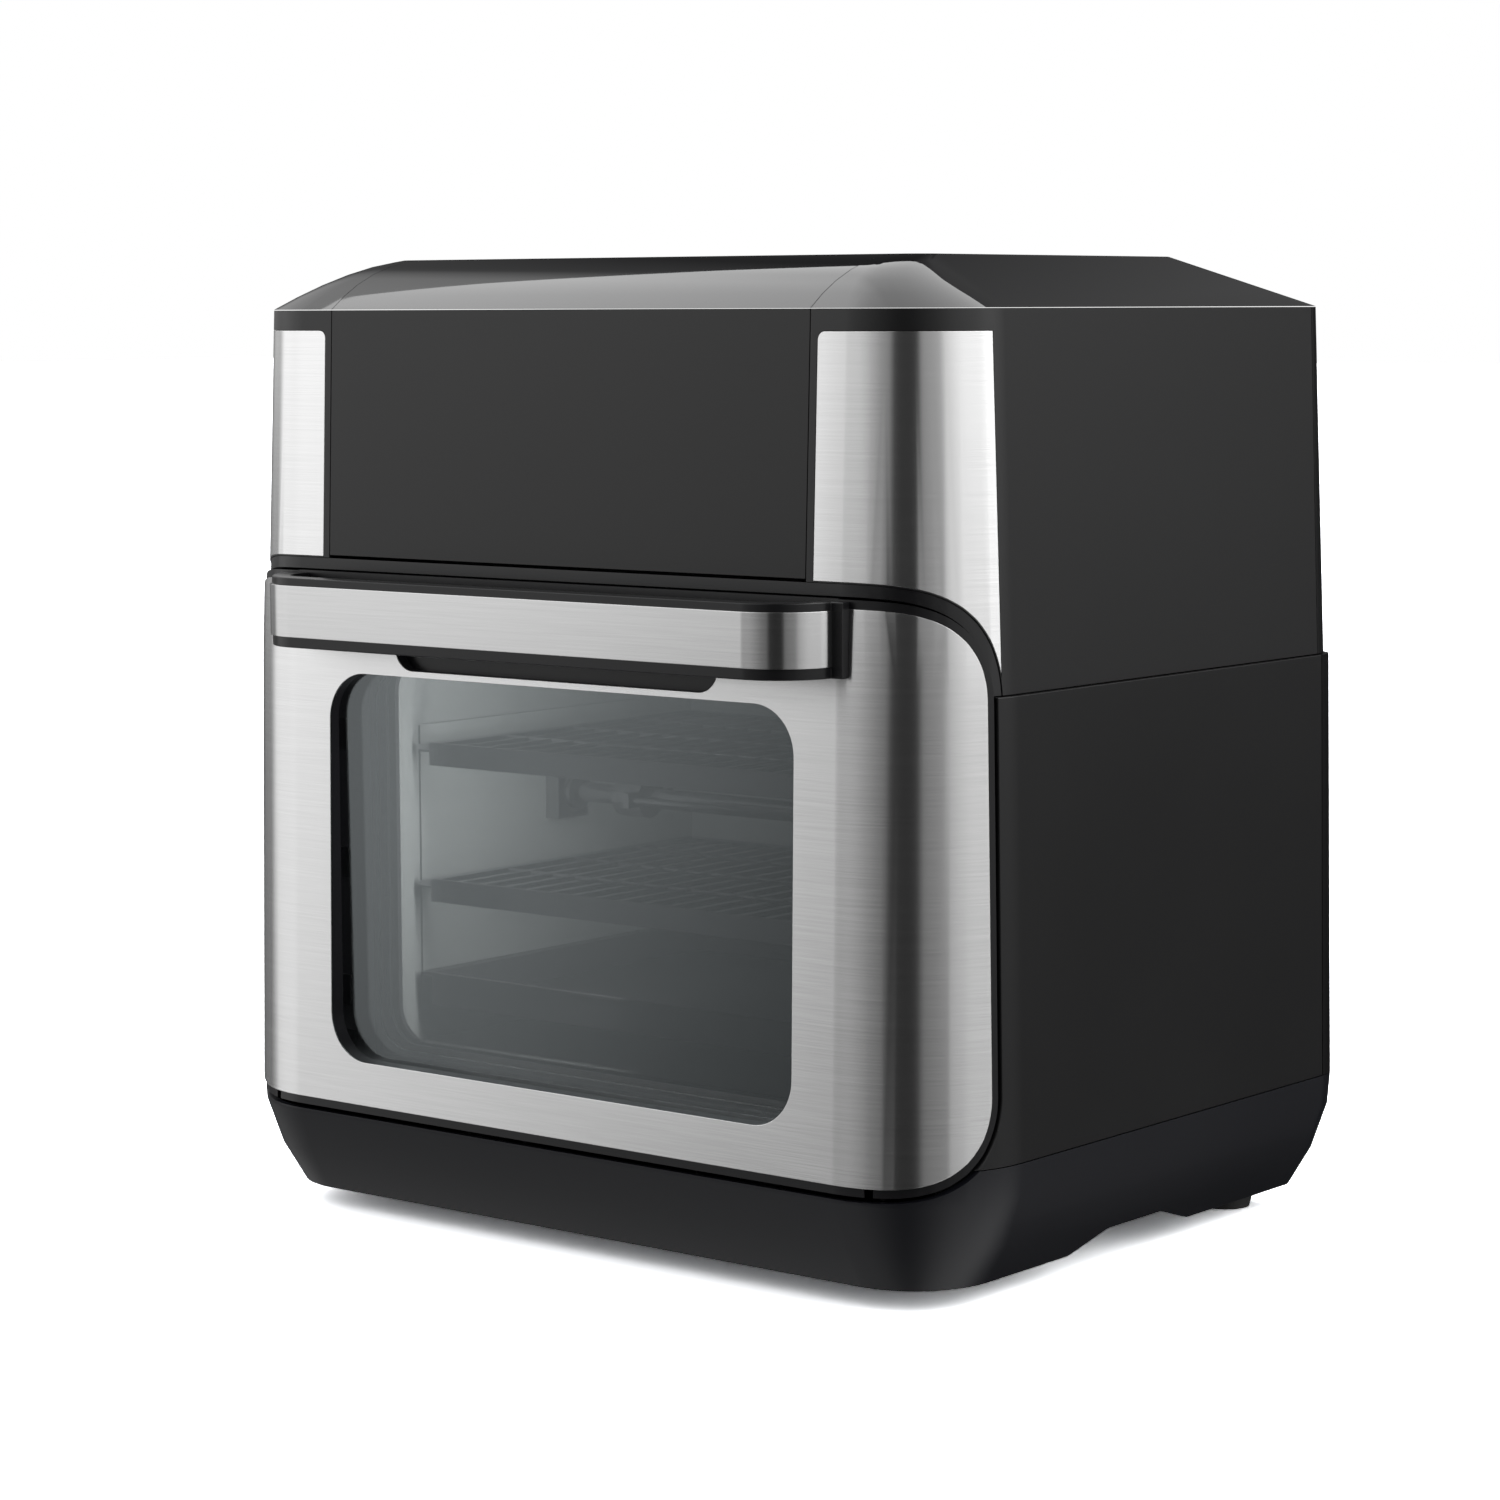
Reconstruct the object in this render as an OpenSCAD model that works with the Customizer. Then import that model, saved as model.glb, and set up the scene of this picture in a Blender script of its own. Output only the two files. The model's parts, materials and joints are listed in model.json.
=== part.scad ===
// Countertop rotisserie oven with a drop-down glass door, a spit between two racks,
// a top heater and a fan. The body stands on four feet, +Z up, front towards -Y.

/* [Body] */
// Width of the body at its top edge
body_w = 341; // [320:1:420]
// Depth of the body at its top edge
body_d = 254; // [245:1:320]
// Height of the body's top edge above the ground
edge_z = 353; // [350:1:440]
// Rise of the sloped top above the edge
top_rise = 19; // [12:0.5:30]
// Inset of the sloped top's ends and back
top_inset = 42; // [35:1:60]
// Radius of the rounded front of the top, seen from the side
top_front_r = 84; // [70:1:120]
// Radius of the upright front corners
front_r = 39; // [30:1:50]
// Radius of the upright back corners
back_r = 12; // [8:1:20]
// Outward lean of the upper walls, mm per mm
lean_upper = 0.034; // [0.01:0.002:0.05]
// Outward lean of the lower walls, mm per mm
lean_lower = 0.0153; // [0.005:0.001:0.03]
// How far the door and the lower panels stand proud of the upper ones
seam_step = 2; // [0:0.1:3]
// Thickness of the moulded walls
wall = 2.5; // [2:0.1:3.5]

/* [Seams] */
// Height of the seam between upper and lower panels
seam_z = 219; // [215:1:222]
// Height of the seam above the base
base_z = 54; // [50:1:56]
// Half width between the two seams beside the control panel
seam_x = 116; // [112:0.5:120]
// Distance of the rear covers' seam from the body's middle
rear_seam_y = 115; // [108:1:118]
// Gap left along a seam
seam_gap = 0.3; // [0.2:0.05:0.6]

/* [Door] */
// Radius of the steel door skin's corner, seen from the side
door_r = 31.3; // [25:0.1:34]
// Height of the centre of the door's upper side corner
door_top_c = 218.7; // [216:0.1:222]
// Height of the centre of the door's lower side corner
door_low_c = 79.5; // [78:0.1:82]
// Width of the black edge round the steel skin
door_edge = 3.2; // [2:0.1:4]
// Gap between the door and the housing
door_gap = 1; // [0.6:0.1:1.5]
// Width of the black lip above the door
lip_w = 4.3; // [3:0.1:6]
// Thickness of the steel skins
skin_t = 0.8; // [0.6:0.1:1]
// Half width of the window
window_x = 113.5; // [100:0.5:113.5]
// Height of the window's lower edge
window_low = 65; // [64:0.5:80]
// Height of the window's upper edge
window_top = 215; // [200:0.5:215]
// Radius of the window's corners
window_r = 18; // [10:1:24]
// Thickness of both glass panes
glass_t = 4; // [3:0.5:4]
// Distance of the hinge axis behind the door's face
hinge_in = 8.5; // [8:0.1:9]
// Height of the hinge axis
hinge_z = 57; // [56:0.5:58]
// Radius of the hinge pins
pin_r = 3; // [2.5:0.1:3.5]

/* [Handle] */
// How far the handle stands out from the door
handle_reach = 26.5; // [24:0.5:36]
// Half width of the handle's straight middle
handle_flat = 110; // [90:1:111]
// Radius of the bends at the handle's ends
bend_r = 23; // [14:0.5:24]
// Distance of the handle's steel below the door's top
handle_drop = 3.6; // [3:0.1:6]
// Height of the steel face
handle_h = 19.6; // [16:0.2:21]
// Thickness of the handle's grip
grip_t = 8; // [6:0.5:9]
// Half width of the finger recess under the handle
recess_x = 79; // [60:1:90]

/* [Cavity] */
// Half width inside the cooking cavity
cavity_x = 116; // [114:0.5:117]
// Height of the cavity floor
cavity_low = 64; // [62:0.5:66]
// Height of the cavity ceiling
cavity_top = 238; // [234:0.5:240]
// Depth of the cavity behind the front frame
cavity_d = 182; // [170:1:195]
// Thickness of the cavity's sheet steel
sheet = 1.2; // [0.8:0.1:1.5]
// Height of the upper rack's guides
rack_high = 181; // [179:0.5:183]
// Height of the lower rack's guides
rack_mid = 127; // [120:0.5:130]
// Height of the drip tray's guides
tray_z = 91.5; // [88:0.5:95]
// Radius of a rack's wires
wire_r = 1; // [0.8:0.1:1.5]

/* [Rotisserie] */
// Height of the spit's axis
spit_z = 156.5; // [155:0.5:158]
// Radius of the spit rod
spit_r = 4; // [3:0.5:5]
// Radial clearance of the running fits
run_gap = 0.05; // [0.02:0.01:0.08]
// Distance of a fork's prongs from the axis
prong_off = 11; // [9:0.5:12]
// Length of a fork's prongs
prong_l = 45; // [30:1:50]

/* [Fan] */
// Width of the cavity's ceiling left in front of and behind the fan's pan
pan_edge = 19; // [18:0.5:30]
// Number of blades on the convection fan
fan_blades = 8; // [5:1:12]
// Radius of the fan shaft
shaft_r = 4; // [3:0.5:5]

/* [Feet] */
// Radius of a rubber foot
foot_r = 11; // [8:0.5:13]
// Height of the base's lower edge above the ground
skirt_z = 8.6; // [6:0.2:10]

/* [Hidden] */
$fn = 64;
round_fn = 48;
big = 600;

// Outward lean of the walls, counted from the top edge
lean_at_seam = lean_upper * (edge_z - seam_z);
function out_upper(z) = lean_upper * (edge_z - z);
function out_lower(z) = lean_at_seam + seam_step + lean_lower * (seam_z - z);
function out_at(z) = z > seam_z ? out_upper(z) : out_lower(z);
function door_face(z) = -(body_d / 2 + (z > seam_z ? out_upper(z) + seam_step : out_lower(z)));

edge_r = door_r + door_edge;
handle_low = door_top_c + edge_r - handle_drop - handle_h;

// The body's middle is moved back so that the origin is below the middle of the whole
handle_front = handle_reach - door_face(handle_low + handle_h);
rear_reach = body_d / 2 + out_lower(base_z);
mid_y = (handle_front - rear_reach) / 2;

// Door and its bay
door_mid_z = (door_top_c + door_low_c) / 2;
door_c = door_face(door_mid_z) + 0.5;
bay_r = edge_r + door_gap;
lip_r = bay_r + lip_w;
plate_y = door_c + bay_r;
plate_t = 2;
hinge_y = door_face(hinge_z) + hinge_in;
door_back = plate_y - 4.3;
swing_top_r = door_top_c + edge_r - hinge_z + 0.2;
swing_low_r = door_back - hinge_y + 0.2;
corner_x = body_w / 2 - front_r;
wing_x = corner_x + 20;
wing_wall = 2.5;
frame_wall = 2.8;
frame_t = skin_t + 3;
liner_t = 1.2;
glass_y = door_face(window_top) + 4.4;
inner_glass_y = door_back - liner_t - glass_t;
arm_x = corner_x + 5.5;
arm_t = 5.2;
arm_r = 5.5;
recess_low = window_top + 2.4;
recess_top = handle_low + handle_h - 2;
recess_wall = 1.5;
recess_back = door_face(window_top) + 6.6;

// Cavity and what it carries
cavity_y0 = plate_y + plate_t;
cavity_y1 = cavity_y0 + cavity_d;
cavity_mid = (cavity_y0 + cavity_y1) / 2;
roof_z = cavity_top + sheet;
opening_x = window_x - 0.5;
opening_low = window_low + 2;
opening_top = window_top + 3;
rack_y0 = cavity_y0 + 10;
rack_y1 = cavity_y1 - 6;
rack_x = cavity_x - 3.5;
pan_r = cavity_d / 2 - pan_edge;
fan_r = pan_r - 12;
pan_h = 26;
pan_top = roof_z + pan_h;
bridge_z = pan_top + 20;
bridge_x = pan_r + 14;
motor_r = 30;
motor_h = 34;
hub_r = 8;
hub_l = 14;
fork_x = 66;
fork_screw_x = fork_x + 9;
socket_r = 9;
socket_x = cavity_x - 6;
motor_x = cavity_x + 10.5;
floor_z = 18;
head_r = 3.6;
head_h = 1.4;
rear_sink = 1.9;
tuck_high = 41.5;
tuck_low = 24;
floor_t = 2.5;
screw_r = 2;
rear_foot = [body_w / 2 - 28, body_d / 2 - 24];
front_foot = [body_w / 2 - 40, -body_d / 2 + 57];
gland_x = -110;
gland_z = 78;
gland_r = 7.8;
cord_r = 4.2;

// Moves a part from the body's middle to the origin's frame
module place() translate([0, mid_y, 0]) children();

// Copies a part made on the right to both sides
module both_sides() {
    children();
    mirror([1, 0, 0]) children();
}

// Flat rounded rectangle between two corners
module rounded_rect(x0, y0, x1, y1, r) {
    translate([x0 + r, y0]) square([x1 - x0 - 2 * r, y1 - y0]);
    translate([x0, y0 + r]) square([x1 - x0, y1 - y0 - 2 * r]);
    for (x = [x0 + r, x1 - r], y = [y0 + r, y1 - r])
        translate([x, y]) circle(r = r);
}

// Stands a flat shape, drawn in x and z, upright from y0 to y1
module along_y(y0, y1) translate([0, y1, 0]) rotate([90, 0, 0]) linear_extrude(y1 - y0) children();

// Stands a flat shape, drawn in y and z, upright from x0 to x1
module along_x(x0, x1)
    translate([x0, 0, 0]) rotate([90, 0, 90]) linear_extrude(x1 - x0) children();

// A box given by its two corners
module box(low, high) translate(low) cube(high - low);

// A round bar along X
module bar_x(x0, x1, y, z, r) translate([x0, y, z]) rotate([0, 90, 0]) cylinder(r = r, h = x1 - x0);

// A round bar along Y
module bar_y(x, y0, y1, z, r) translate([x, y1, z]) rotate([90, 0, 0]) cylinder(r = r, h = y1 - y0);

// One stretch of the body's outer form, made smaller all round by inset
module stretch(z0, z1, grow0, grow1)
    hull()
        for (sx = [-1, 1]) {
            translate([sx * (body_w / 2 - front_r), -(body_d / 2 - front_r), z0])
                cylinder(h = z1 - z0, r1 = front_r + grow0, r2 = front_r + grow1, $fn = round_fn);
            translate([sx * (body_w / 2 - back_r), body_d / 2 - back_r, z0])
                cylinder(h = z1 - z0, r1 = back_r + grow0, r2 = back_r + grow1, $fn = round_fn);
        }

module upper_form(inset, z0 = seam_z, z1 = edge_z)
    stretch(z0, z1, out_upper(z0) - inset, out_upper(z1) - inset);

module lower_form(inset, z0 = base_z, z1 = seam_z)
    stretch(z0, z1, out_lower(z0) - inset, out_lower(z1) - inset);

module upper_shell(t)
    difference() {
        upper_form(0, seam_z + seam_gap, edge_z - seam_gap);
        upper_form(t, seam_z - 1, edge_z + 1);
    }

module lower_shell(t)
    difference() {
        lower_form(0, base_z + seam_gap, seam_z);
        lower_form(t, base_z - 1, seam_z + 1);
    }

// Side outline of the door's wings, drawn in y and z, with corners of radius r
module wing_outline(r) {
    translate([door_c, door_top_c]) circle(r = r, $fn = 128);
    translate([door_c, door_low_c]) circle(r = r, $fn = 128);
    translate([-big, door_low_c]) square([big + door_c + r, door_top_c - door_low_c]);
    translate([-big, door_low_c - r]) square([big + door_c, door_top_c - door_low_c + 2 * r]);
}

// The bay that the door closes, as a solid across the whole width
module bay(r) along_x(-big, big) wing_outline(r);

// Side outline of the door's middle, rounded about the hinge so that it swings clear
module middle_outline(back, inset = 0)
    intersection() {
        translate([-big, door_low_c - edge_r + inset])
            square([big + back, door_top_c - door_low_c + 2 * edge_r - 2 * inset + 5]);
        translate([hinge_y, hinge_z]) circle(r = swing_top_r - inset, $fn = 256);
        union() {
            translate([-big, hinge_z]) square([2 * big, big]);
            translate([-big, 0]) square([big + hinge_y, big]);
            translate([hinge_y, hinge_z]) circle(r = swing_low_r, $fn = 128);
        }
    }

// The door's middle as a solid, rounded off with the wings where the front turns the corner
module middle(half, back, inset = 0)
    intersection() {
        along_x(-half, half) middle_outline(back, inset);
        union() {
            bay(edge_r - inset);
            box([-corner_x, -big, 0], [corner_x, big, big]);
        }
    }

// Outer form of the door, inset from the body's face, across both leans
module door_form(inset) {
    upper_form(inset - seam_step, seam_z, door_top_c + bay_r + 5);
    lower_form(inset, base_z - 12, seam_z);
}

// Region of a steel strip at the right front corner
module strip_region(gap = 0) {
    intersection() {
        along_y(-big, 0)
            rounded_rect(seam_x + 3.5 - gap, seam_z, body_w, edge_z - 8 + gap, 3);
        along_x(0, big)
            difference() {
                translate([-big, seam_z]) square([big - 94.5 + gap, edge_z]);
                wing_outline(lip_r + 0.6 - gap);
            }
    }
}

// ---- base ----

// The base's form, tucked in more steeply towards its lower edge
module base_form(inset) {
    grow = out_lower(base_z) - inset;
    stretch(tuck_high, base_z, grow - 1, grow);
    stretch(tuck_low, tuck_high, grow - 7, grow - 1);
    stretch(skirt_z, tuck_low, grow - 16, grow - 7);
}

module base_tray() place() color("#1b1b20")
    union() {
        difference() {
            base_form(0);
            difference() {
                base_form(wall);
                box([-big, -big, floor_z], [big, big, floor_z + floor_t]);
            }
            bay(bay_r + 1);
            lift_arch();
            for (p = foot_places()) translate([p[0], p[1], 0]) cylinder(r = screw_r + 0.1, h = 40);
            for (p = base_screw_places()) translate([p[0], p[1], 0]) cylinder(r = screw_r + 0.1, h = 40);
        }
        for (p = foot_places())
            translate([p[0], p[1], 10])
                difference() {
                    cylinder(r = foot_r + 2, h = floor_z - 10);
                    translate([0, 0, -1]) cylinder(r = screw_r + 0.1, h = 20);
                }
    }

function foot_places() = [for (p = [front_foot, rear_foot], side = [-1, 1]) [side * p[0], p[1]]];
function base_screw_places() = [for (x = [-90, 0, 90], y = [-50, 60]) [x, y]];

// Hand hold cut through the skirt on both sides
module lift_arch()
    along_x(-big, big)
        polygon([[-37, 0], [-37, skirt_z], [-17, 16], [19, 16], [43, skirt_z], [43, 0]]);

module feet() place() color("#202022")
    for (p = foot_places())
        translate([p[0], p[1], 0])
            difference() {
                union() {
                    cylinder(r1 = foot_r - 1, r2 = foot_r, h = 4);
                    translate([0, 0, 4]) cylinder(r = foot_r, h = 6);
                }
                translate([0, 0, -1]) cylinder(r = 5, h = 4);
                cylinder(r = screw_r + 0.1, h = 20);
            }

// A pan head screw standing upright, its head's underside at the origin
module screw(length) {
    translate([0, 0, -head_h]) cylinder(r = head_r, h = head_h);
    cylinder(r = screw_r, h = length);
}

module case_screws() place() color("#8c8c90") {
    for (p = foot_places()) translate([p[0], p[1], 3]) screw(floor_z + 1);
    for (p = base_screw_places()) translate([p[0], p[1], floor_z]) screw(9);
    for (p = rear_screw_places())
        translate([p[0], body_d / 2 + out_at(p[1]) - rear_sink, p[1]]) rotate([90, 0, 0]) screw(11);
}

// ---- outer panels ----

module lower_side_right() place() color("#1a1a1c")
    difference() {
        intersection() {
            lower_shell(wall);
            box([seam_x, -big, 0], [big, rear_seam_y, big]);
        }
        bay(bay_r);
    }

module lower_side_left() mirror([1, 0, 0]) lower_side_right();

module vent_rows(z_list, x0, x1, step)
    for (z = z_list, x = [x0 : step : x1])
        box([x, body_d / 2 - 8, z], [x + 3, body_d / 2 + 20, z + 16]);

module lower_rear_cover() place() color("#1a1a1c")
    difference() {
        intersection() {
            lower_shell(wall);
            box([-big, rear_seam_y + seam_gap, 0], [big, big, big]);
        }
        vent_rows([120, 142, 164], -60, 60, 8);
        bar_y(gland_x, 0, big, gland_z, gland_r + run_gap);
        for (p = rear_screw_places()) rear_screw_hole(p);
    }

module upper_side_right() place() color("#2a2a2c")
    difference() {
        intersection() {
            upper_shell(wall);
            box([seam_x + seam_gap, -big, 0], [big, rear_seam_y, big]);
        }
        bay(lip_r + 0.1);
        difference() {
            strip_region(0.1);
            upper_form(skin_t, seam_z - 1, edge_z + 1);
        }
    }

module upper_side_left() mirror([1, 0, 0]) upper_side_right();

module upper_rear_cover() place() color("#2a2a2c")
    difference() {
        intersection() {
            upper_shell(wall);
            box([-big, rear_seam_y + seam_gap, 0], [big, big, big]);
        }
        vent_rows([262, 284, 306], -100, 100, 8);
        for (p = rear_screw_places()) rear_screw_hole(p);
    }

function rear_screw_places() = [for (x = [-140, 140], z = [75, 200, 240, 335]) [x, z]];

// Countersink and hole for a screw in a rear cover
module rear_screw_hole(p) {
    sunk_y = body_d / 2 + out_at(p[1]) - rear_sink;
    bar_y(p[0], sunk_y, big, p[1], head_r + 0.3);
    bar_y(p[0], sunk_y - 20, big, p[1], screw_r + 0.1);
}

// ---- sloped top ----

// Inset of the rounded front at height h above the edge
function front_inset(h) =
    sqrt(pow(top_front_r, 2) - pow(top_front_r - top_rise, 2))
    - sqrt(pow(top_front_r, 2) - pow(top_front_r - top_rise + h, 2));

module top_form(inset, low)
    hull()
        for (step = [0 : 6]) {
            h = top_rise * sin(15 * step);
            side = top_inset * h / top_rise + inset * 1.3;
            front = min(front_inset(h), top_inset + 5) + inset * 1.3;
            corner = front_r + (10 - front_r) * h / top_rise;
            rear = back_r + (8 - back_r) * h / top_rise;
            for (sx = [-1, 1]) {
                translate([sx * (body_w / 2 - side - corner), -(body_d / 2 - front - corner), edge_z + h - low])
                    cylinder(r = corner, h = 0.02, $fn = round_fn);
                translate([sx * (body_w / 2 - side - rear), body_d / 2 - side - rear, edge_z + h - low])
                    cylinder(r = rear, h = 0.02, $fn = round_fn);
            }
        }

module top_shell()
    difference() {
        top_form(0, 0);
        top_form(wall, wall);
    }

module top_cover() place() color("#0c0c0e")
    intersection() {
        top_shell();
        box([-seam_x, -big, 0], [seam_x, big, big]);
    }

module top_end_right() place() color("#0c0c0e")
    intersection() {
        top_shell();
        box([seam_x + seam_gap, -big, 0], [big, big, big]);
    }

module top_end_left() mirror([1, 0, 0]) top_end_right();

// ---- control panel and trim ----

panel_low = door_top_c + lip_r + 0.9;
panel_t = 3;

module control_panel() place() color("#333335")
    union() {
        intersection() {
            difference() {
                upper_form(0, seam_z, edge_z - seam_gap);
                upper_form(panel_t, seam_z - 1, edge_z + 1);
            }
            box([-seam_x, -big, panel_low], [seam_x, 0, edge_z]);
        }
        for (x = [-80, 80], z = [290, 332]) bar_y(x, board_y - 5, board_y, z, 3);
    }

board_y = -(body_d / 2) + 5;

module front_lip() place() color("#141416")
    intersection() {
        difference() {
            upper_form(0.4, seam_z + seam_gap, edge_z);
            upper_form(panel_t, seam_z - 1, edge_z + 1);
        }
        along_x(-big, big)
            difference() {
                wing_outline(lip_r);
                wing_outline(bay_r);
            }
    }

module steel_strip_right() place() color("#c9cacb")
    intersection() {
        difference() {
            upper_form(0, seam_z, edge_z);
            upper_form(skin_t, seam_z - 1, edge_z + 1);
        }
        strip_region();
    }

module steel_strip_left() mirror([1, 0, 0]) steel_strip_right();

// ---- front frame and cavity ----

module front_frame() place() color("#1c1c1e")
    difference() {
        union() {
            intersection() {
                union() {
                    upper_form(panel_t + 0.2, seam_z, door_top_c + bay_r + 6);
                    lower_form(wall + 2.4, door_low_c - bay_r - 3, seam_z);
                }
                union() {
                    box([-big, plate_y, 0], [big, plate_y + plate_t, big]);
                    box([-wing_x + 2, door_c + 6, door_top_c + bay_r + 0.8],
                        [wing_x - 2, plate_y + 1, door_top_c + bay_r + 2.8]);
                }
            }
            both_sides()
                box([60, plate_y, floor_z + floor_t], [80, plate_y + plate_t, door_low_c - bay_r]);
        }
        along_y(-big, big)
            rounded_rect(-opening_x, opening_low, opening_x, opening_top, 14);
        bar_y(switch_x, -big, big, switch_z, plunger_r + 0.3);
    }

module cavity() place() color("#9b9da0")
    difference() {
        box([-cavity_x - sheet, cavity_y0, cavity_low - sheet], [cavity_x + sheet, cavity_y1 + sheet, roof_z]);
        box([-cavity_x, cavity_y0 - 1, cavity_low], [cavity_x, cavity_y1, cavity_top]);
        translate([0, cavity_mid, cavity_low]) cylinder(r = pan_r - 2, h = big);
        bar_x(0, big, 0, spit_z, socket_r + 0.6);
        bar_x(0, big, lamp_y, lamp_z, lens_r);
        bar_y(probe_x, 0, big, probe_z, probe_r);
        for (x = [-12, 12]) translate([x, cavity_y1 - 9, 200]) cylinder(r = heater_r + 0.3, h = 60);
    }

module rack_guides() place() color("#a8aaad")
    difference() {
        both_sides()
            union() {
                box([cavity_x - 1, rack_y0 + 4, tray_z - 8], [cavity_x, rack_y1 - 4, rack_high + 9]);
                for (z = [tray_z, rack_mid, rack_high])
                    box([cavity_x - 7, rack_y0 + 4, z - 1.5], [cavity_x - 1, rack_y1 - 4, z]);
            }
        bar_x(0, big, 0, spit_z, socket_r + 0.6);
    }

// A rack with a raised front lip, cross bars and wires running back
module rack(z)
    union() {
        difference() {
            box([-rack_x, rack_y0, z], [rack_x, rack_y1, z + 2]);
            box([-rack_x + 5, rack_y0 + 5, z - 1], [rack_x - 5, rack_y1 - 5, z + 3]);
        }
        box([-rack_x + 6, rack_y0, z - 6], [rack_x - 6, rack_y0 + 1.2, z + 3]);
        for (x = [-96 : 12 : 96]) bar_y(x, rack_y0 + 3, rack_y1 - 3, z + 1, wire_r);
        for (y = [-40, 0, 40]) bar_x(-rack_x + 3, rack_x - 3, y, z + 1, wire_r);
    }

module rack_upper() place() color("#b5b7ba") rack(rack_high);

module rack_lower() place() color("#b5b7ba") rack(rack_mid);

module drip_tray() place() color("#7d7f83")
    difference() {
        union() {
            box([-rack_x, rack_y0, tray_z], [rack_x, rack_y1, tray_z + 1]);
            box([-rack_x + 5, rack_y0 + 1, tray_z - 12], [rack_x - 5, rack_y1 - 1, tray_z]);
        }
        box([-rack_x + 6, rack_y0 + 2, tray_z - 11], [rack_x - 6, rack_y1 - 2, tray_z + 2]);
    }

// ---- heater and fan ----

heater_r = 3.2;
heater_z = 229;

module fan_housing() place() color("#8f9194")
    translate([0, cavity_mid, roof_z])
        difference() {
            union() {
                cylinder(r = pan_r, h = pan_h);
                cylinder(r = pan_r + 7, h = 1);
            }
            translate([0, 0, -1]) cylinder(r = pan_r - 1.2, h = pan_h - 0.2);
            cylinder(r = shaft_r + 2, h = big);
        }

module fan_guard() place() color("#a0a2a5")
    union() {
        for (r = [pan_r - 52, pan_r - 36, pan_r - 20, pan_r - 4])
            translate([0, cavity_mid, heater_z - 8]) rotate_extrude() translate([r, 0]) circle(r = 1, $fn = 24);
        for (a = [0, 90])
            translate([0, cavity_mid, heater_z - 8]) rotate([0, 0, a]) bar_x(-pan_r - 3, pan_r + 3, 0, 0, 1.2);
        for (a = [0 : 90 : 270])
            translate([0, cavity_mid, heater_z - 8]) rotate([0, 0, a])
                translate([pan_r + 2, 0, 0]) cylinder(r = 1.5, h = cavity_top - heater_z + 8);
    }

module heating_element() place() color("#55504c")
    union() {
        for (r = [pan_r - 26, pan_r - 12])
            translate([0, cavity_mid, heater_z])
                rotate_extrude() translate([r, 0]) circle(r = heater_r, $fn = 24);
        for (x = [-12, 12]) {
            bar_y(x, cavity_mid + pan_r - 28, cavity_y1 - 8, heater_z, heater_r - 0.5);
            translate([x, cavity_y1 - 9, heater_z - 4]) cylinder(r = heater_r, h = 34);
        }
    }

module motor_bracket() place() color("#8f9194")
    translate([0, cavity_mid, 0])
        difference() {
            union() {
                box([-bridge_x, -16, bridge_z], [bridge_x, 16, bridge_z + 2]);
                both_sides() box([bridge_x - 2, -16, roof_z + 1], [bridge_x, 16, bridge_z]);
                both_sides() box([bridge_x - 4, -16, roof_z], [bridge_x + 12, 16, roof_z + 1.5]);
            }
            cylinder(r = shaft_r + 2, h = big);
        }

module fan_motor() place() color("#5d5f66")
    translate([0, cavity_mid, bridge_z + 2])
        difference() {
            union() {
                cylinder(r = motor_r, h = motor_h);
                for (a = [0 : 30 : 330]) rotate([0, 0, a]) translate([motor_r - 1, -1, 4]) cube([3, 2, motor_h - 8]);
            }
            translate([0, 0, -1]) cylinder(r = shaft_r + run_gap, h = motor_h - 3);
        }

module fan_shaft() place() color("#c0c2c5")
    translate([0, cavity_mid, roof_z + 1]) cylinder(r = shaft_r, h = bridge_z + motor_h - 8 - roof_z);

module blade_wheel(r, h, blades)
    difference() {
        union() {
            cylinder(r = r, h = 1.2);
            cylinder(r = 11, h = h);
            for (i = [0 : blades - 1])
                rotate([0, 0, 360 * i / blades]) translate([r * 0.42, -0.6, 1]) cube([r * 0.56, 1.2, h - 1]);
        }
        translate([0, 0, -1]) cylinder(r = shaft_r, h = h + 2);
    }

module convection_fan() place() color("#a3a5a8")
    translate([0, cavity_mid, roof_z + 18]) mirror([0, 0, 1]) blade_wheel(fan_r, 14, fan_blades);

module cooling_fan() place() color("#3c3d40")
    translate([0, cavity_mid, pan_top + 4]) blade_wheel(45, 11, 6);

// ---- spit ----

module spit_rod() place() color("#c4c6c9")
    union() {
        bar_x(-cavity_x + 2.5, socket_x + 10, 0, spit_z, spit_r);
        bar_x(-cavity_x + 9.5, -cavity_x + 12, 0, spit_z, spit_r + 3);
    }

module drive_socket() place() color("#8c8e92")
    difference() {
        union() {
            bar_x(socket_x, motor_x - 0.5, 0, spit_z, socket_r);
            bar_x(socket_x, motor_x + 12, 0, spit_z, 3);
        }
        bar_x(socket_x - 1, socket_x + 10, 0, spit_z, spit_r);
    }

module spit_motor() place() color("#54565c")
    difference() {
        union() {
            box([motor_x, -24, spit_z - 24], [motor_x + 14, 24, spit_z + 24]);
            bar_x(motor_x + 14, motor_x + 30, 0, spit_z, 20);
            for (y = [-20, 20]) bar_x(cavity_x + sheet, motor_x, y, spit_z - 18, 3);
        }
        bar_x(motor_x - 1, motor_x + 13, 0, spit_z, 3 + run_gap);
    }

module spit_support() place() color("#a8aaad")
    difference() {
        box([-cavity_x + 1, -9, spit_z - 11], [-cavity_x + 8, 9, spit_z + 7]);
        bar_x(-cavity_x + 2, 0, 0, spit_z, spit_r + run_gap);
        box([-cavity_x + 2, -spit_r - run_gap, spit_z], [-cavity_x + 9, spit_r + run_gap, spit_z + 8]);
    }

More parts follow.
